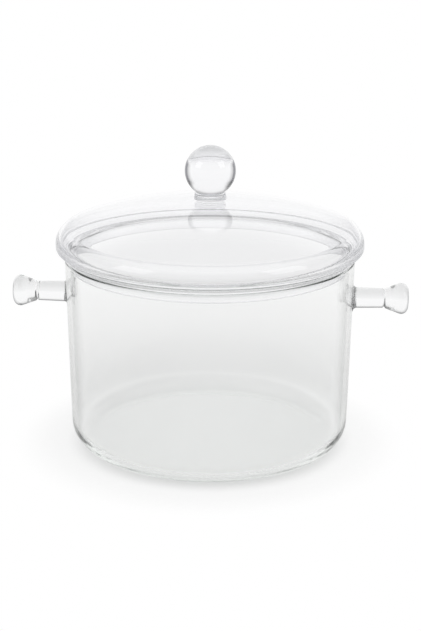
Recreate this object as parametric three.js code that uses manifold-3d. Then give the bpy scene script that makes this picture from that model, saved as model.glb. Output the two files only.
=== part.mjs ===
import * as THREE from 'three';
import { mergeVertices } from 'three/addons/utils/BufferGeometryUtils.js';
import Module from 'manifold-3d';

// A round glass cooking pot with two rod handles and a domed lid with a ball knob.
// Millimetres and degrees, +Z up. The pot stands on Z = 0 and its handles lie along X.

// Vessel
const rimRadius = 89.7; // outside of the wall, at the rim
const potHeight = 120.4;
const wallLeanDegrees = 1.85; // the wall opens towards the rim
const wallThickness = 3;
const baseThickness = 4;
const baseCornerRadius = 15;
const insideCornerRadius = 12;

// Handles, measured outwards from the wall
const handleDrop = 26.4; // of the rod's axis, below the rim
const handleLength = 33.7;
const rodRootRadius = 6.4;
const rodNeckRadius = 6; // where the flared end starts
const flareLength = 15.3;
const flareRadius = 9.5;
const flareCornerRadius = 4;
const endBulge = 1.2; // rise of the rounded end face
const weldRadius = 8.7; // of the melted ring on the wall
const weldLength = 3;

// Lid, one thin blown shell, measured from the seat that rests on the pot's rim
const crownHeight = 32.6;
const lidThickness = 2.5;
const girthHeight = 6.1; // the lid is widest this far above the seat
const shoulderRadius = 12;
const lidOverhang = 4.6; // beyond the outside of the rim
const bandHeight = 1.5; // straight part at the girth
const curlRadius = 6.4; // the edge curls under the girth
const curlFootRadius = 2.2; // where the curl runs into the seat
const hollowCurlRadius = 1.8;
const seatFilletRadius = 2.5; // where the seat turns down into the skirt
const skirtClearance = 0.8; // between the skirt and the inside of the wall
const skirtDepth = 6.2;

// Knob, measured from the lid's crown
const ballRadius = 15.5;
const neckHeight = 3.3; // from the crown to the underside of the ball
const collarFootRadius = 7.8;
const collarRadius = 9.9; // over the bead
const collarBeadRadius = 1.6;
const collarBeadHeight = 2.2; // of the middle of the bead
const collarTopRadius = 8.9;

// Fit and fineness
const fitGap = 0.3; // left between pieces that rest on or are melted to each other
const ringSegments = 64;
const rodSegments = 32;
const knobSegments = 40;
const arcStepDegrees = 15;
const leastArcSteps = 6;
const weldTolerance = 1e-4;

// Clear glass
const glassRoughness = 0.05;
const glassOpacity = 0.35;
const potColour = 0xe4ebe4; // a faint green in the thick edges
const handleColour = 0xe6e8ec;
const lidColour = 0xe6e9e8;
const knobColour = 0xe2e2e8;

const quarterTurn = Math.PI / 2;
const lean = THREE.MathUtils.degToRad(wallLeanDegrees);
const wasm = await Module();
wasm.setup();

function point(radius, height) {
  return new THREE.Vector2(radius, height);
}

function arc(x, y, radius, from, to) {
  const span = THREE.MathUtils.radToDeg(Math.abs(to - from));
  const steps = Math.max(leastArcSteps, Math.ceil(span / arcStepDegrees));
  const points = [];
  for (let i = 0; i <= steps; i += 1) {
    const angle = from + ((to - from) * i) / steps;
    const atX = x + radius * Math.cos(angle);
    points.push(point(Math.abs(atX) < weldTolerance ? 0 : atX, y + radius * Math.sin(angle)));
  }
  return points;
}

// The round cap that crosses the axis at topY and runs smoothly into a rounded corner.
function capOver(cornerX, cornerY, cornerRadius, topY) {
  const rise = topY - cornerY;
  const radius = (cornerX ** 2 + rise ** 2 - cornerRadius ** 2) / (2 * (rise - cornerRadius));
  const centreY = topY - radius;
  return { radius, centreY, angle: Math.atan2(cornerY - centreY, cornerX) };
}

// One closed skin: shared corners are joined and triangles that shrink to a line on the axis are dropped.
function closeSkin(geometry) {
  geometry.deleteAttribute('normal');
  geometry.deleteAttribute('uv');
  const joined = mergeVertices(geometry, weldTolerance);
  const corners = joined.index.array;
  const kept = [];
  for (let i = 0; i < corners.length; i += 3) {
    const [a, b, c] = corners.slice(i, i + 3);
    if (a !== b && b !== c && c !== a) {
      kept.push(a, b, c);
    }
  }
  joined.setIndex(kept);
  joined.computeVertexNormals();
  return joined;
}

function turn(profile, segments) {
  return closeSkin(new THREE.LatheGeometry(profile, segments));
}

function turnUpright(profile, segments) {
  return turn(profile, segments).rotateX(quarterTurn);
}

function toSolid(geometry) {
  const vertProperties = new Float32Array(geometry.attributes.position.array);
  const triVerts = new Uint32Array(geometry.index.array);
  return new wasm.Manifold(new wasm.Mesh({ numProp: 3, vertProperties, triVerts }));
}

function toGeometry(solid) {
  const mesh = solid.getMesh();
  const geometry = new THREE.BufferGeometry();
  geometry.setAttribute('position', new THREE.BufferAttribute(mesh.vertProperties, mesh.numProp));
  geometry.setIndex(new THREE.BufferAttribute(mesh.triVerts, 1));
  geometry.computeVertexNormals();
  return geometry;
}

function outerRadiusAt(height) {
  return rimRadius - (potHeight - height) * Math.tan(lean);
}

function innerRadiusAt(height) {
  return outerRadiusAt(height) - wallThickness / Math.cos(lean);
}

function makeVessel() {
  const outerCornerX = outerRadiusAt(baseCornerRadius) - baseCornerRadius / Math.cos(lean);
  const innerCornerZ = baseThickness + insideCornerRadius;
  const innerCornerX = innerRadiusAt(innerCornerZ) - insideCornerRadius / Math.cos(lean);
  const rimRound = wallThickness / 2;
  const rimZ = potHeight - rimRound;
  const rimX = outerRadiusAt(rimZ) - rimRound / Math.cos(lean);
  const profile = [
    point(0, 0),
    ...arc(outerCornerX, baseCornerRadius, baseCornerRadius, -quarterTurn, -lean),
    ...arc(rimX, rimZ, rimRound, -lean, Math.PI - lean),
    ...arc(innerCornerX, innerCornerZ, insideCornerRadius, -lean, -quarterTurn),
    point(0, baseThickness),
  ];
  return turnUpright(profile, ringSegments);
}

const handleHeight = potHeight - handleDrop;

// The handle on the +X side. Its root is cut to the round of the wall.
function makeHandle() {
  const wallX = outerRadiusAt(handleHeight);
  const weld = new THREE.QuadraticBezierCurve(
    point(weldRadius, 0),
    point(rodRootRadius, 0),
    point(rodRootRadius, weldLength),
  );
  const neck = point(rodNeckRadius, handleLength - flareLength);
  const cornerX = flareRadius - flareCornerRadius;
  const cornerY = handleLength - endBulge - flareCornerRadius;
  const end = capOver(cornerX, cornerY, flareCornerRadius, handleLength);
  const toCorner = point(cornerX, cornerY).sub(neck);
  const flareAngle = toCorner.angle() - Math.asin(flareCornerRadius / toCorner.length());
  const profile = [
    point(0, -wallThickness),
    point(weldRadius, -wallThickness),
    ...weld.getPoints(leastArcSteps),
    neck,
    ...arc(cornerX, cornerY, flareCornerRadius, flareAngle - quarterTurn, end.angle),
    ...arc(0, end.centreY, end.radius, end.angle, quarterTurn),
  ];
  const rod = turn(profile, rodSegments).rotateZ(-quarterTurn).translate(wallX, 0, handleHeight);
  const clearance = [
    point(0, 0),
    point(outerRadiusAt(0) + fitGap, 0),
    point(outerRadiusAt(potHeight) + fitGap, potHeight),
    point(0, potHeight),
  ];
  return toGeometry(toSolid(rod).subtract(toSolid(turnUpright(clearance, ringSegments))));
}

const skirtOuter = innerRadiusAt(potHeight - skirtDepth) - skirtClearance;
const skirtInner = skirtOuter - lidThickness;
const lidRadius = rimRadius + lidOverhang;
const shoulderX = lidRadius - shoulderRadius;
const dome = capOver(shoulderX, girthHeight, shoulderRadius, crownHeight);

// The shell runs from the dome over the shoulder, curls under to the seat and turns down into the skirt.
function makeLidCover() {
  const hollowCurlX = lidRadius - lidThickness - hollowCurlRadius;
  const hollowCurlZ = lidThickness + hollowCurlRadius;
  const filletX = skirtOuter + seatFilletRadius;
  const bendRadius = seatFilletRadius + lidThickness;
  const skirtRound = lidThickness / 2;
  const curlX = lidRadius - curlRadius;
  const curlZ = girthHeight - bandHeight;
  const footReach = curlRadius - curlFootRadius;
  const footAngle = -Math.asin((curlZ - curlFootRadius) / footReach);
  const footX = curlX + footReach * Math.cos(footAngle);
  const profile = [
    ...arc(0, dome.centreY, dome.radius - lidThickness, quarterTurn, dome.angle),
    ...arc(shoulderX, girthHeight, shoulderRadius - lidThickness, dome.angle, 0),
    ...arc(hollowCurlX, hollowCurlZ, hollowCurlRadius, 0, -quarterTurn),
    ...arc(filletX, -seatFilletRadius, bendRadius, quarterTurn, Math.PI),
    ...arc(skirtInner + skirtRound, skirtRound - skirtDepth, skirtRound, Math.PI, 2 * Math.PI),
    ...arc(filletX, -seatFilletRadius, seatFilletRadius, Math.PI, quarterTurn),
    ...arc(footX, curlFootRadius, curlFootRadius, -quarterTurn, footAngle),
    ...arc(curlX, curlZ, curlRadius, footAngle, 0),
    ...arc(shoulderX, girthHeight, shoulderRadius, 0, dome.angle),
    ...arc(0, dome.centreY, dome.radius, dome.angle, quarterTurn),
  ];
  return turnUpright(profile, ringSegments);
}

// The collar's foot follows the dome. A bead stands out above it and tapers to a shallow cup for the ball.
function makeKnobCollar() {
  const footRadius = dome.radius + fitGap;
  const beadX = collarRadius - collarBeadRadius;
  const beadFrom = -quarterTurn - Math.asin((beadX - collarFootRadius) / collarBeadRadius);
  const cupRadius = ballRadius + fitGap;
  const ballZ = neckHeight + ballRadius;
  const cupAngle = -Math.acos(collarTopRadius / cupRadius);
  const toCup = point(collarTopRadius - beadX, ballZ + cupRadius * Math.sin(cupAngle) - collarBeadHeight);
  const beadTo = toCup.angle() - Math.acos(collarBeadRadius / toCup.length());
  const profile = [
    ...arc(0, -dome.radius, footRadius, quarterTurn, Math.acos(collarFootRadius / footRadius)),
    ...arc(beadX, collarBeadHeight, collarBeadRadius, beadFrom, beadTo),
    ...arc(0, ballZ, cupRadius, cupAngle, -quarterTurn),
  ];
  return turnUpright(profile, knobSegments);
}

function makeKnobBall() {
  const profile = arc(0, 0, ballRadius, -quarterTurn, quarterTurn);
  return turnUpright(profile, knobSegments);
}

function glassPiece(name, geometry, colour) {
  const material = new THREE.MeshStandardMaterial({
    color: colour,
    roughness: glassRoughness,
    metalness: 0,
    transparent: true,
    opacity: glassOpacity,
  });
  const mesh = new THREE.Mesh(geometry, material);
  mesh.name = name;
  return mesh;
}

const vessel = glassPiece('pot_vessel', makeVessel(), potColour);

const handleShape = makeHandle();
const rightHandle = glassPiece('right_handle', handleShape, handleColour);
const leftHandle = glassPiece('left_handle', handleShape, handleColour);
leftHandle.rotation.z = Math.PI;

const knob = new THREE.Group();
knob.position.z = crownHeight;
const knobCollar = glassPiece('knob_collar', makeKnobCollar(), knobColour);
const knobBall = glassPiece('knob_ball', makeKnobBall(), knobColour);
knobBall.position.z = neckHeight + ballRadius;
knob.add(knobCollar, knobBall);

const lid = new THREE.Group();
lid.position.z = potHeight + fitGap;
const lidCover = glassPiece('lid_cover', makeLidCover(), lidColour);
lid.add(lidCover, knob);

const pot = new THREE.Group();
pot.add(vessel, rightHandle, leftHandle, lid);

export default pot;
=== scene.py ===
import math
import bmesh
import bpy
from mathutils import Matrix, Vector


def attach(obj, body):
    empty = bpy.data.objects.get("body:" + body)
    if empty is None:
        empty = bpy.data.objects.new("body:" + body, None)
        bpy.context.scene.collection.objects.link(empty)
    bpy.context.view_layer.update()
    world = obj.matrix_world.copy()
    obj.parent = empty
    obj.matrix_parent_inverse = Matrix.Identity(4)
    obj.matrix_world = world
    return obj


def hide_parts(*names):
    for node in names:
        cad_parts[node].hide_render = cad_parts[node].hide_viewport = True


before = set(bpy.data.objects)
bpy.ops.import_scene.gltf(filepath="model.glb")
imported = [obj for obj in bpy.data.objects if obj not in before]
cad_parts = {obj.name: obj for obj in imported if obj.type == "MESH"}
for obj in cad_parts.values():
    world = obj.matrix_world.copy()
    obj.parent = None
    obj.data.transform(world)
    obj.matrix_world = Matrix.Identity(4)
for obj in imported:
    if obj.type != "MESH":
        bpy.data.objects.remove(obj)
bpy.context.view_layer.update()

mm = 0.001              # the frame is in metres
mergeGap = 0.005        # mm, points closer than this become one
glassBounces = 96       # a look through pot and lid crosses many glass skins
clearBounces = 32

scene = bpy.context.scene
scene.view_settings.view_transform = "Standard"
scene.cycles.max_bounces = glassBounces
scene.cycles.transmission_bounces = glassBounces
scene.cycles.glossy_bounces = glassBounces
scene.cycles.transparent_max_bounces = clearBounces


# half outlines are drawn in the XZ plane, with sizes in mm and angles in degrees
def startOutline(radius, height):
    bm = bmesh.new()
    return bm, bm.verts.new((radius * mm, 0, height * mm))


def lineTo(bm, tip, radius, height, steps=1):
    start = tip.co.copy()
    end = Vector((radius * mm, 0, height * mm))
    for step in range(steps):
        tip = bmesh.ops.extrude_vert_indiv(bm, verts=[tip])["verts"][0]
        tip.co = start.lerp(end, (step + 1) / steps)
    return tip


def arcTo(bm, tip, radius, height, angle, steps):
    made = bmesh.ops.spin(
        bm, geom=[tip], cent=(radius * mm, 0, height * mm), axis=(0, -1, 0),
        angle=math.radians(angle), steps=steps)
    return [g for g in made["geom_last"] if isinstance(g, bmesh.types.BMVert)][0]


# a cap that meets a rounded corner smoothly: its radius, its centre and the angle where they meet
def capOver(cornerX, cornerY, cornerRadius, topY):
    rise = topY - cornerY
    radius = (cornerX ** 2 + rise ** 2 - cornerRadius ** 2) / (2 * (rise - cornerRadius))
    centreY = topY - radius
    return radius, centreY, math.degrees(math.atan2(cornerY - centreY, cornerX))


def spinRound(bm, steps):
    bmesh.ops.spin(
        bm, geom=bm.verts[:] + bm.edges[:], cent=(0, 0, 0), axis=(0, 0, 1),
        angle=math.tau, steps=steps, use_merge=True)
    bmesh.ops.remove_doubles(bm, verts=bm.verts[:], dist=mergeGap * mm)
    bmesh.ops.recalc_face_normals(bm, faces=bm.faces[:])


def finishPiece(bm, name, body, node, material):
    for face in bm.faces:
        face.smooth = True
    mesh = bpy.data.meshes.new(name)
    bm.to_mesh(mesh)
    bm.free()
    piece = bpy.data.objects.new(name, mesh)
    scene.collection.objects.link(piece)
    piece.data.materials.append(material)
    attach(piece, body)
    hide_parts(node)
    print("made", name, len(mesh.polygons), "faces")
    return piece


# node helpers: a value is a number or another node's output
def feed(tree, value, socket):
    if isinstance(value, bpy.types.NodeSocket):
        tree.links.new(value, socket)
    else:
        socket.default_value = value


def calc(tree, operation, *values):
    node = tree.nodes.new("ShaderNodeMath")
    node.operation = operation
    for value, socket in zip(values, node.inputs):
        feed(tree, value, socket)
    return node.outputs["Value"]


def ease(tree, value, span, levels=(0.0, 1.0), curve="SMOOTHSTEP"):
    node = tree.nodes.new("ShaderNodeMapRange")
    node.interpolation_type = curve
    node.inputs["From Min"].default_value = span[0]
    node.inputs["From Max"].default_value = span[1]
    node.inputs["To Min"].default_value = levels[0]
    node.inputs["To Max"].default_value = levels[1]
    tree.links.new(value, node.inputs["Value"])
    return node.outputs["Result"]


def blend(tree, factor, under, over):
    node = tree.nodes.new("ShaderNodeMix")
    node.data_type = "FLOAT"
    feed(tree, factor, node.inputs["Factor"])
    feed(tree, under, node.inputs["A"])
    feed(tree, over, node.inputs["B"])
    return node.outputs["Result"]


def mixShaders(tree, factor, first, second):
    node = tree.nodes.new("ShaderNodeMixShader")
    tree.links.new(factor, node.inputs["Fac"])
    tree.links.new(first, node.inputs[1])
    tree.links.new(second, node.inputs[2])
    return node.outputs["Shader"]


def noise(tree, place, scale, detail):
    node = tree.nodes.new("ShaderNodeTexNoise")
    node.inputs["Scale"].default_value = scale
    node.inputs["Detail"].default_value = detail
    tree.links.new(place, node.inputs["Vector"])
    return node.outputs["Fac"]


# edgeShadeBlend sets how far in from the outline the painted edge shade reaches
glassGrain = dict(
    shift=(0.0137, 0.0211, 0.0053), waveDetail=1.5, filmDetail=6.0, filmRange=(0.45, 0.75),
    edgeShadeBlend=0.5)


def clearGlass(name, look):
    g = glassGrain
    material = bpy.data.materials.new(name)
    material.use_nodes = True
    tree = material.node_tree
    nodes, links = tree.nodes, tree.links
    nodes.clear()
    out = nodes.new("ShaderNodeOutputMaterial")
    glass = nodes.new("ShaderNodeBsdfPrincipled")
    glass.inputs["Transmission Weight"].default_value = 1.0
    glass.inputs["IOR"].default_value = look["ior"]
    coords = nodes.new("ShaderNodeTexCoord")
    place = nodes.new("ShaderNodeVectorMath")
    place.operation = "ADD"
    place.inputs[1].default_value = g["shift"]
    links.new(coords.outputs["Object"], place.inputs[0])

    # slow waves from the blowing
    waves = noise(tree, place.outputs["Vector"], look["waveScale"], g["waveDetail"])
    bump = nodes.new("ShaderNodeBump")
    bump.inputs["Strength"].default_value = look["waveStrength"]
    bump.inputs["Distance"].default_value = look["waveDepth"] * mm
    links.new(waves, bump.inputs["Height"])
    links.new(bump.outputs["Normal"], glass.inputs["Normal"])

    # handling film: a little less polish in patches
    film = noise(tree, place.outputs["Vector"], look["filmScale"], g["filmDetail"])
    links.new(ease(tree, film, g["filmRange"], look["polish"], "LINEAR"), glass.inputs["Roughness"])

    # painted edge shade: upright glass is darkened where it is seen edge on, standing in for the dark
    # surroundings that real glass shows there
    edge = nodes.new("ShaderNodeLayerWeight")
    edge.inputs["Blend"].default_value = g["edgeShadeBlend"]
    skin = nodes.new("ShaderNodeNewGeometry")
    split = nodes.new("ShaderNodeSeparateXYZ")
    links.new(skin.outputs["Normal"], split.inputs["Vector"])
    # the painted edge shade also darkens the underside of a solid piece
    if look["solid"]:                    # the underside of a solid piece counts as its edge too
        outward = calc(tree, "MULTIPLY_ADD", skin.outputs["Backfacing"], -2.0, 1.0)
        slope = calc(tree, "MULTIPLY", split.outputs["Z"], outward)
    else:
        slope = calc(tree, "ABSOLUTE", split.outputs["Z"])
    upright = ease(tree, slope, look["edgeShadeSlope"], (1.0, 0.0))
    paintedEdgeShade = nodes.new("ShaderNodeValToRGB")
    paintedEdgeShade.color_ramp.elements[0].position = look["edgeShadeStart"]
    paintedEdgeShade.color_ramp.elements[0].color = (*look["clear"], 1)
    paintedEdgeShade.color_ramp.elements[1].position = look["edgeShadeFull"]
    paintedEdgeShade.color_ramp.elements[1].color = (*look["edge"], 1)
    links.new(calc(tree, "MULTIPLY", edge.outputs["Facing"], upright), paintedEdgeShade.inputs["Fac"])
    links.new(paintedEdgeShade.outputs["Color"], glass.inputs["Base Color"])

    # lamps shine through, so the shadow stays light
    light = nodes.new("ShaderNodeLightPath")
    through = nodes.new("ShaderNodeBsdfTransparent")
    through.inputs["Color"].default_value = (*look["shade"], 1)
    surface = mixShaders(
        tree, light.outputs["Is Shadow Ray"], glass.outputs["BSDF"], through.outputs["BSDF"])
    links.new(surface, out.inputs["Surface"])

    # the faint colour that builds up in the depth of the glass
    depth = nodes.new("ShaderNodeVolumeAbsorption")
    depth.inputs["Color"].default_value = (*look["depth"], 1)
    depth.inputs["Density"].default_value = look["depthDensity"]
    links.new(depth.outputs["Volume"], out.inputs["Volume"])
    return material


potShape = dict(
    rimRadius=89.0, height=120.4, lean=1.43, wall=3.0, base=4.0, baseCorner=15.0, insideCorner=12.0,
    spinSteps=192)

# edge and its span are the painted edge shade, darkening upright glass seen edge on
potGlassLook = dict(
    ior=1.47, solid=False, clear=(0.98, 0.982, 0.981), edge=(0.42, 0.43, 0.42),
    edgeShadeStart=0.62, edgeShadeFull=0.95, edgeShadeSlope=(0.5, 0.9), depth=(0.86, 0.90, 0.87), depthDensity=4.0,
    shade=(0.86, 0.88, 0.86), waveScale=18.0, waveStrength=0.25, waveDepth=0.2,
    filmScale=30.0, polish=(0.0, 0.02))

leanSin = math.sin(math.radians(potShape["lean"]))
leanCos = math.cos(math.radians(potShape["lean"]))


def outerAt(height):
    return potShape["rimRadius"] - (potShape["height"] - height) * leanSin / leanCos


def innerAt(height):
    return outerAt(height) - potShape["wall"] / leanCos


def makePot():
    p = potShape
    inside = p["insideCorner"]
    outerX = outerAt(p["baseCorner"]) - p["baseCorner"] / leanCos
    innerZ = p["base"] + inside
    innerX = innerAt(innerZ) - inside / leanCos
    rimRound = p["wall"] / 2
    rimZ = p["height"] - rimRound
    rimX = outerAt(rimZ) - rimRound / leanCos

    # outside from the base up, over the rim, then down the inside
    bm, tip = startOutline(0, 0)
    tip = lineTo(bm, tip, outerX, 0, steps=30)
    tip = arcTo(bm, tip, outerX, p["baseCorner"], 90 - p["lean"], steps=16)
    tip = lineTo(bm, tip, rimX + rimRound * leanCos, rimZ - rimRound * leanSin, steps=50)
    tip = arcTo(bm, tip, rimX, rimZ, 180, steps=20)
    tip = lineTo(bm, tip, innerX + inside * leanCos, innerZ - inside * leanSin, steps=50)
    tip = arcTo(bm, tip, innerX, innerZ, p["lean"] - 90, steps=16)
    tip = lineTo(bm, tip, 0, p["base"], steps=30)
    spinRound(bm, p["spinSteps"])
    return finishPiece(bm, "pot", "pot", "pot_vessel", clearGlass("potGlass", potGlassLook))


handleShape = dict(
    height=94.0, length=34.2, rootRadius=6.4, neckRadius=6.0, flareLength=15.3, flareRadius=9.6,
    flareCorner=4.2, endBulge=0.5, weldRadius=8.7, weldLength=3.0, weldLip=0.05, sunk=0.5,
    wallReach=0.2, grooveDepth=0.9, grooveWidth=1.6, grooveRound=0.3, spinSteps=96)

# edge and its span are the painted edge shade, darkening upright glass seen edge on
handleGlassLook = dict(
    ior=1.47, solid=True, clear=(0.98, 0.98, 0.985), edge=(0.12, 0.12, 0.13),
    edgeShadeStart=0.35, edgeShadeFull=0.75, edgeShadeSlope=(0.3, 0.75), depth=(0.85, 0.88, 0.86), depthDensity=6.0,
    shade=(0.86, 0.87, 0.88), waveScale=40.0, waveStrength=0.15, waveDepth=0.1,
    filmScale=60.0, polish=(0.0, 0.02))


def makeHandle(name, node, turn, material):
    h = handleShape
    wallX = outerAt(h["height"])
    neckY = h["length"] - h["flareLength"]
    cornerX = h["flareRadius"] - h["flareCorner"]
    cornerY = h["length"] - h["endBulge"] - h["flareCorner"]
    endY, endAngle = capOver(cornerX, cornerY, h["flareCorner"], h["length"])[1:]
    toCorner = Vector((cornerX - h["neckRadius"], cornerY - neckY))
    flareAngle = math.degrees(
        math.atan2(toCorner.y, toCorner.x) - math.asin(h["flareCorner"] / toCorner.length))
    flareFrom = flareAngle - 90
    flareX = cornerX + h["flareCorner"] * math.cos(math.radians(flareFrom))
    flareY = cornerY + h["flareCorner"] * math.sin(math.radians(flareFrom))
    weldBend = h["weldRadius"] - h["rootRadius"]
    grooveHalf = h["grooveWidth"] / 2
    flareIn = math.tan(math.radians(90 - flareAngle)) * grooveHalf

    # weld ring, rod, groove, flared grip, drawn upright
    bm, tip = startOutline(0, -h["sunk"])
    tip = lineTo(bm, tip, h["weldRadius"], -h["sunk"], steps=8)
    tip = lineTo(bm, tip, h["weldRadius"], h["weldLip"])
    tip = arcTo(bm, tip, h["weldRadius"], weldBend + h["weldLip"], -90, steps=10)
    tip = lineTo(bm, tip, h["rootRadius"], h["weldLength"], steps=2)
    lip = lineTo(bm, tip, h["neckRadius"], neckY - grooveHalf, steps=12)
    groove = lineTo(bm, lip, h["neckRadius"] - h["grooveDepth"], neckY, steps=4)
    brow = lineTo(bm, groove, h["neckRadius"] + flareIn, neckY + grooveHalf, steps=4)
    tip = lineTo(bm, brow, flareX, flareY, steps=10)
    tip = arcTo(bm, tip, cornerX, cornerY, endAngle - flareFrom, steps=12)
    tip = arcTo(bm, tip, 0, endY, 90 - endAngle, steps=8)
    bmesh.ops.bevel(
        bm, geom=[lip, groove, brow], offset=h["grooveRound"] * mm, affect="VERTICES",
        segments=4, profile=0.5, material=-1)
    spinRound(bm, h["spinSteps"])

    # laid down and set against the wall
    layDown = Matrix.Rotation(math.pi / 2, 3, "Y")
    bmesh.ops.rotate(bm, verts=bm.verts[:], cent=(0, 0, 0), matrix=layDown)
    bmesh.ops.translate(bm, verts=bm.verts[:], vec=(wallX * mm, 0, h["height"] * mm))
    for vert in bm.verts:                # the root follows the round of the wall
        if vert.co.x < (wallX + h["wallReach"]) * mm:
            reach = (wallX * mm) ** 2 - vert.co.y ** 2
            vert.co.x += math.sqrt(reach) - wallX * mm
    bmesh.ops.rotate(bm, verts=bm.verts[:], cent=(0, 0, 0), matrix=Matrix.Rotation(turn, 3, "Z"))
    return finishPiece(bm, name, "pot", node, material)


lidShape = dict(
    seat=120.7, crown=32.6, wall=2.5, girth=7.6, shoulder=10.5, overhang=5.3, band=1.6, edge=1.6,
    riserLean=60.0, riserFoot=1.5, riserTop=1.2, hollow=5.0, hollowFoot=4.0,
    seatFillet=0.4, skirtClearance=0.6, skirtDepth=6.2, spinSteps=192)

# edge and its span are the painted edge shade, darkening upright glass seen edge on
lidGlassLook = dict(
    ior=1.47, solid=False, clear=(0.968, 0.968, 0.976), edge=(0.34, 0.34, 0.37),
    edgeShadeStart=0.3, edgeShadeFull=0.9, edgeShadeSlope=(0.35, 0.8), depth=(0.86, 0.87, 0.89), depthDensity=4.0,
    shade=(0.88, 0.89, 0.89), waveScale=14.0, waveStrength=0.2, waveDepth=0.2,
    filmScale=26.0, polish=(0.0, 0.02))

lidRadius = potShape["rimRadius"] + lidShape["overhang"]


def lidDome():
    s = lidShape
    return capOver(lidRadius - s["shoulder"], s["girth"], s["shoulder"], s["crown"])


def makeLid():
    s = lidShape
    wall, fillet = s["wall"], s["seatFillet"]
    shoulderX = lidRadius - s["shoulder"]
    domeZ, domeAngle = lidDome()[1:]

    # the riser climbs from the seat out to the edge
    riser = s["riserLean"]
    riserSin, riserCos = math.sin(math.radians(riser)), math.cos(math.radians(riser))
    edgeX, edgeZ = lidRadius - s["edge"], s["girth"] - s["band"]
    bends = s["riserFoot"] + s["riserTop"]
    riserRise = edgeZ - s["edge"] - bends * (1 - riserCos)
    footX = edgeX - bends * riserSin - riserRise * riserCos / riserSin
    riserStart = Vector((footX + s["riserFoot"] * riserSin, s["riserFoot"] * (1 - riserCos)))
    riserEnd = riserStart + Vector((riserRise * riserCos / riserSin, riserRise))

    # the inner side of the riser, and the round hollow between it and the shoulder
    along, inward = Vector((riserCos, riserSin)), Vector((-riserSin, riserCos))
    innerStart = riserStart + inward * wall
    reach = s["shoulder"] - wall - s["hollow"]
    toHollow = innerStart + inward * s["hollow"] - Vector((shoulderX, s["girth"]))
    lean = toHollow.dot(along)
    hollow = toHollow + along * (math.sqrt(lean ** 2 - toHollow.length_squared + reach ** 2) - lean)
    hollowTurn = math.degrees(math.atan2(hollow.y, hollow.x))
    hollowX, hollowZ = shoulderX + hollow.x, s["girth"] + hollow.y
    cornerX = innerStart.x + (wall - innerStart.y) * riserCos / riserSin
    cornerCut = s["hollowFoot"] * math.tan(math.radians(riser / 2))
    cornerEnd = Vector((cornerX, wall)) + along * cornerCut

    # the skirt hangs inside the pot, clear of its wall
    skirtOuter = innerAt(potShape["height"] - s["skirtDepth"]) - s["skirtClearance"]
    skirtInner = skirtOuter - wall
    filletX = skirtOuter + fillet
    tipRound = wall / 2
    tipZ = tipRound - s["skirtDepth"]

    # inside: dome, shoulder, hollow of the edge, riser, seat, skirt
    bm, tip = startOutline(0, s["crown"] - wall)
    tip = arcTo(bm, tip, 0, domeZ, domeAngle - 90, steps=40)
    tip = arcTo(bm, tip, shoulderX, s["girth"], hollowTurn - domeAngle, steps=14)
    tip = arcTo(bm, tip, hollowX, hollowZ, riser - 90 - hollowTurn, steps=10)
    tip = lineTo(bm, tip, cornerEnd.x, cornerEnd.y, steps=3)
    tip = arcTo(bm, tip, cornerX - cornerCut, wall + s["hollowFoot"], -riser, steps=8)
    tip = lineTo(bm, tip, filletX, wall, steps=3)
    tip = arcTo(bm, tip, filletX, -fillet, 90, steps=12)
    tip = lineTo(bm, tip, skirtInner, tipZ, steps=4)
    tip = arcTo(bm, tip, skirtInner + tipRound, tipZ, 180, steps=18)

    # outside: skirt, seat, riser, edge, shoulder, dome
    tip = lineTo(bm, tip, skirtOuter, -fillet, steps=4)
    tip = arcTo(bm, tip, filletX, -fillet, -90, steps=8)
    tip = lineTo(bm, tip, footX, 0, steps=4)
    tip = arcTo(bm, tip, footX, s["riserFoot"], riser, steps=8)
    tip = lineTo(bm, tip, riserEnd.x, riserEnd.y, steps=3)
    tip = arcTo(bm, tip, edgeX, edgeZ - s["edge"] - s["riserTop"], -riser, steps=8)
    tip = arcTo(bm, tip, edgeX, edgeZ, 90, steps=12)
    tip = lineTo(bm, tip, lidRadius, s["girth"], steps=2)
    tip = arcTo(bm, tip, shoulderX, s["girth"], domeAngle, steps=18)
    tip = arcTo(bm, tip, 0, domeZ, 90 - domeAngle, steps=40)
    bmesh.ops.translate(bm, verts=bm.verts[:], vec=(0, 0, s["seat"] * mm))
    spinRound(bm, s["spinSteps"])
    return finishPiece(bm, "lid", "lid", "lid_cover", clearGlass("lidGlass", lidGlassLook))


knobShape = dict(
    ball=15.5, neck=3.3, foot=7.8, collar=9.9, bead=1.6, beadHeight=2.2, top=8.9, sunk=0.3,
    spinSteps=128)

# edge and its span are the painted edge shade, darkening upright glass seen edge on
knobGlassLook = dict(
    ior=1.47, solid=False, clear=(0.975, 0.975, 0.985), edge=(0.04, 0.04, 0.05),
    edgeShadeStart=0.35, edgeShadeFull=0.6, edgeShadeSlope=(0.3, 0.65), depth=(0.86, 0.87, 0.88), depthDensity=5.0,
    shade=(0.84, 0.84, 0.86), waveScale=30.0, waveStrength=0.1, waveDepth=0.1,
    filmScale=60.0, polish=(0.0, 0.015))

# the painted edge shade on the thin collar is paler than on the ball
collarGlassLook = dict(knobGlassLook, edge=(0.3, 0.3, 0.32), edgeShadeStart=0.7, edgeShadeFull=0.95)


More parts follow.
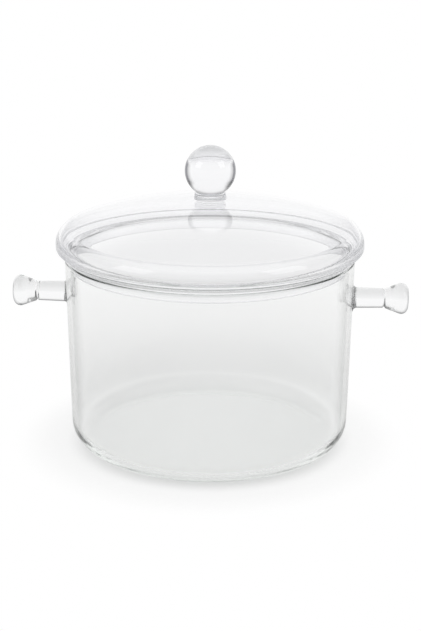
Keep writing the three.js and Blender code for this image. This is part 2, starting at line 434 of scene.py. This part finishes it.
def makeCollar(material):
    k = knobShape
    crownZ = lidShape["seat"] + lidShape["crown"]
    domeRadius = lidDome()[0]
    footRadius = domeRadius - k["sunk"]
    footAngle = math.degrees(math.acos(k["foot"] / footRadius))
    beadX = k["collar"] - k["bead"]
    beadFrom = -90 - math.degrees(math.asin((beadX - k["foot"]) / k["bead"]))
    beadLow = k["beadHeight"] + k["bead"] * math.sin(math.radians(beadFrom))
    cupRadius = k["ball"] - k["sunk"]
    ballZ = k["neck"] + k["ball"]
    cupAngle = -math.degrees(math.acos(k["top"] / cupRadius))
    cupEdgeZ = ballZ + cupRadius * math.sin(math.radians(cupAngle))
    toCup = Vector((k["top"] - beadX, cupEdgeZ - k["beadHeight"]))
    beadTo = math.degrees(math.atan2(toCup.y, toCup.x) - math.acos(k["bead"] / toCup.length))

    # foot on the dome, bead, taper up to the cup that holds the ball
    bm, tip = startOutline(0, footRadius - domeRadius)
    tip = arcTo(bm, tip, 0, -domeRadius, footAngle - 90, steps=10)
    tip = lineTo(bm, tip, k["foot"], beadLow, steps=3)
    tip = arcTo(bm, tip, beadX, k["beadHeight"], beadTo - beadFrom, steps=16)
    tip = lineTo(bm, tip, k["top"], cupEdgeZ, steps=6)
    tip = arcTo(bm, tip, 0, ballZ, -90 - cupAngle, steps=12)
    bmesh.ops.translate(bm, verts=bm.verts[:], vec=(0, 0, crownZ * mm))
    spinRound(bm, k["spinSteps"])
    return finishPiece(bm, "knobCollar", "lid", "knob_collar", material)


def makeBall(material):
    k = knobShape
    ballZ = lidShape["seat"] + lidShape["crown"] + k["neck"] + k["ball"]
    bm, tip = startOutline(0, ballZ - k["ball"])
    tip = arcTo(bm, tip, 0, ballZ, 180, steps=96)
    spinRound(bm, k["spinSteps"])
    return finishPiece(bm, "knobBall", "lid", "knob_ball", material)


makePot()
handleGlass = clearGlass("handleGlass", handleGlassLook)
makeHandle("rightHandle", "right_handle", 0.0, handleGlass)
makeHandle("leftHandle", "left_handle", math.pi, handleGlass)
makeLid()
makeCollar(clearGlass("collarGlass", collarGlassLook))
makeBall(clearGlass("knobGlass", knobGlassLook))


# reaches are in metres from the pot's axis, the drop is in mm
stage = dict(
    floorSize=8.0, floorDrop=0.4, underColour=0.87, shadeColour=0.70, farColour=0.88,
    underReach=0.09, shadeReach=0.14, farReach=0.28,
    contact=0.3, contactReach=(0.070, 0.092), seenNear=0.8, seenFar=1.0, seenReach=(0.09, 0.125),
    throughNear=0.55, throughFar=1.0, throughReach=(0.14, 0.5))


def paleFloor():
    s = stage
    material = bpy.data.materials.new("paleFloor")
    material.use_nodes = True
    tree = material.node_tree
    nodes, links = tree.nodes, tree.links
    nodes.clear()
    out = nodes.new("ShaderNodeOutputMaterial")
    coords = nodes.new("ShaderNodeTexCoord")
    length = nodes.new("ShaderNodeVectorMath")
    length.operation = "LENGTH"
    links.new(coords.outputs["Object"], length.inputs[0])
    away = length.outputs["Value"]

    # a soft ring of shade round the foot of the pot, pale under the glass and further out
    ring = ease(tree, away, (s["underReach"], s["shadeReach"]), (s["underColour"], s["shadeColour"]))
    lift = s["farColour"] - s["shadeColour"]
    fade = ease(tree, away, (s["shadeReach"], s["farReach"]), (0.0, lift))
    matt = nodes.new("ShaderNodeBsdfDiffuse")
    links.new(calc(tree, "ADD", ring, fade), matt.inputs["Color"])

    # the camera sees it lifted to white, but for a soft shade at the foot of the pot
    light = nodes.new("ShaderNodeLightPath")
    camera = light.outputs["Is Camera Ray"]
    contact = ease(tree, away, s["contactReach"], (s["contact"], 0.0))
    dip = calc(tree, "MULTIPLY", camera, contact)
    white = nodes.new("ShaderNodeEmission")
    links.new(calc(tree, "SUBTRACT", 1.0, dip), white.inputs["Strength"])
    nearSeen = ease(tree, away, s["seenReach"], (s["seenNear"], s["seenFar"]))
    direct = calc(tree, "MULTIPLY", camera, nearSeen)

    # the glass sees it lifted too, by less close to the pot
    shiny = calc(tree, "MAXIMUM", light.outputs["Is Glossy Ray"], light.outputs["Is Transmission Ray"])
    nearThrough = ease(tree, away, s["throughReach"], (s["throughNear"], s["throughFar"]))
    through = calc(tree, "MULTIPLY", shiny, nearThrough)
    seen = calc(tree, "MAXIMUM", direct, through)
    surface = mixShaders(tree, seen, matt.outputs["BSDF"], white.outputs["Emission"])
    links.new(surface, out.inputs["Surface"])
    return material


def makeFloor():
    bm = bmesh.new()
    bmesh.ops.create_grid(bm, x_segments=1, y_segments=1, size=stage["floorSize"] / 2)
    drop = (0, 0, -stage["floorDrop"] * mm)          # clear of the flat base
    bmesh.ops.translate(bm, verts=bm.verts[:], vec=drop)
    mesh = bpy.data.meshes.new("floor")
    bm.to_mesh(mesh)
    bm.free()
    floor = bpy.data.objects.new("floor", mesh)
    scene.collection.objects.link(floor)
    floor.data.materials.append(paleFloor())


# lamps are placed in metres and turned to the middle of the pot
lampAim = Vector((0, 0, 0.08))
lamps = [
    dict(name="topBox", place=(0.1, -0.2, 1.3), size=1.0, power=8.0, glint=False),
    dict(name="leftBox", place=(-1.1, -0.7, 0.9), size=0.7, power=3.0, glint=True),
    dict(name="rightBox", place=(1.1, -0.5, 0.9), size=0.7, power=3.0, glint=True)]


def makeLamps():
    for lamp in lamps:
        data = bpy.data.lights.new(lamp["name"], "AREA")
        data.size = lamp["size"]
        data.energy = lamp["power"]
        box = bpy.data.objects.new(lamp["name"], data)
        box.location = lamp["place"]
        box.visible_transmission = False
        box.visible_glossy = lamp["glint"]
        aim = lampAim - box.location
        box.rotation_euler = aim.to_track_quat("-Z", "Y").to_euler()
        scene.collection.objects.link(box)


# spans are parts of a direction of length 1: up, towards the camera, and to the side
sky = dict(
    wall=1.0, ceiling=0.4, ceilingLift=(0.45, 0.75),
    front=0.4, frontReach=(0.1, -0.4), frontLift=(0.1, 0.35),
    sides=0.02, sideReach=(0.45, 0.75), sideLift=(0.12, 0.4))


def makeSky():
    world = bpy.data.worlds.new("studio")
    scene.world = world
    world.use_nodes = True
    tree = world.node_tree
    nodes, links = tree.nodes, tree.links
    nodes.clear()
    out = nodes.new("ShaderNodeOutputWorld")
    coords = nodes.new("ShaderNodeTexCoord")
    split = nodes.new("ShaderNodeSeparateXYZ")
    links.new(coords.outputs["Generated"], split.inputs["Vector"])
    up = split.outputs["Z"]
    aside = calc(tree, "ABSOLUTE", split.outputs["X"])

    # a white wall behind, a dim ceiling, a dim room in front and dark cards left and right
    tone = blend(tree, ease(tree, up, sky["ceilingLift"]), sky["wall"], sky["ceiling"])
    ahead = ease(tree, split.outputs["Y"], sky["frontReach"])
    room = calc(tree, "MULTIPLY", ahead, ease(tree, up, sky["frontLift"]))
    tone = blend(tree, room, tone, sky["front"])
    cards = calc(tree, "MULTIPLY", ease(tree, aside, sky["sideReach"]), ease(tree, up, sky["sideLift"]))
    tone = blend(tree, cards, tone, sky["sides"])

    studio = nodes.new("ShaderNodeBackground")
    links.new(tone, studio.inputs["Color"])
    white = nodes.new("ShaderNodeBackground")
    white.inputs["Color"].default_value = (1, 1, 1, 1)
    light = nodes.new("ShaderNodeLightPath")
    surface = mixShaders(
        tree, light.outputs["Is Camera Ray"], studio.outputs["Background"], white.outputs["Background"])
    links.new(surface, out.inputs["Surface"])


# distances in metres, angles in degrees, lens and sensor in mm
shot = dict(
    away=1.0, up=0.39945, tilt=17.71, turn=3.6, aside=-0.0265, roll=0.23, lens=96.42, sensor=36.0,
    clip=(0.05, 50.0))


def makeCamera():
    data = bpy.data.cameras.new("photoCamera")
    data.lens = shot["lens"]
    data.sensor_width = shot["sensor"]
    data.clip_start, data.clip_end = shot["clip"]
    camera = bpy.data.objects.new("photoCamera", data)
    turn = math.radians(shot["turn"])
    spot = (shot["away"] * math.sin(turn), -shot["away"] * math.cos(turn), shot["up"])
    look = (
        Matrix.Rotation(turn + math.radians(shot["aside"]), 4, "Z")
        @ Matrix.Rotation(math.radians(90 - shot["tilt"]), 4, "X")
        @ Matrix.Rotation(math.radians(shot["roll"]), 4, "Z"))
    camera.matrix_world = Matrix.Translation(spot) @ look
    scene.collection.objects.link(camera)
    scene.camera = camera


makeFloor()
makeLamps()
makeSky()
makeCamera()
print("stage and camera set")
